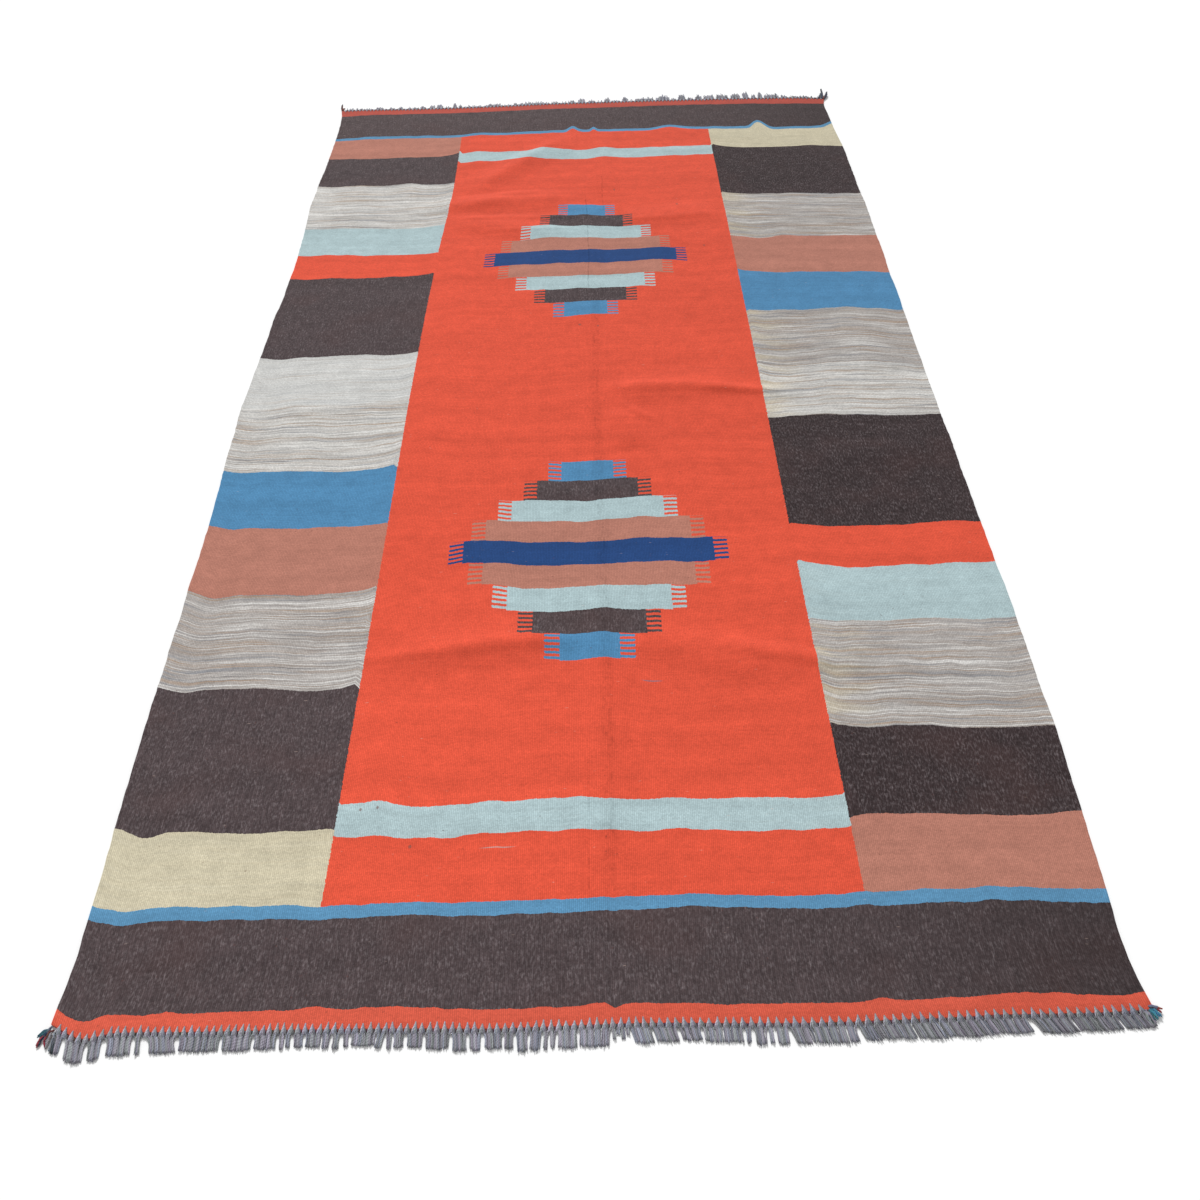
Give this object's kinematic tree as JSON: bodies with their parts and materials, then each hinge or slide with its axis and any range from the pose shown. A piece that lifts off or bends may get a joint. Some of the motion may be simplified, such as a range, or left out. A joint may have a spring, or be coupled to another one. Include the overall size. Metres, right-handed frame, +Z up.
{
  "type": "kilim rug",
  "caption": "Long flat-woven wool rug lying flat: orange-red field, plain bars down both sides, dark end bands, short knotted fringes and small corner tufts.",
  "frame": {"origin": "on the floor under the middle of the whole rug, fringes and tufts included", "axes": "+Z up, +Y along the warp from the near end to the far end, +X to the right seen from the near end"},
  "size_m": [1.7438, 3.138, 0.0127],
  "materials": {
    "wool_weave": "matt weft-faced plain weave in wool, orange-red with dark brown, blue, ivory and tan areas",
    "warp_fringe": "matt twisted grey warp yarn, knotted and cut short",
    "tuft_yarn": "matt twisted blue, grey and red yarn ends"
  },
  "bodies": {
    "root": {"rug_weave": "wool_weave", "fringe_near": "warp_fringe", "fringe_far": "warp_fringe", "tuft_near_left": "tuft_yarn", "tuft_near_right": "tuft_yarn", "tuft_far_left": "tuft_yarn", "tuft_far_right": "tuft_yarn"}
  },
  "joints": []
}
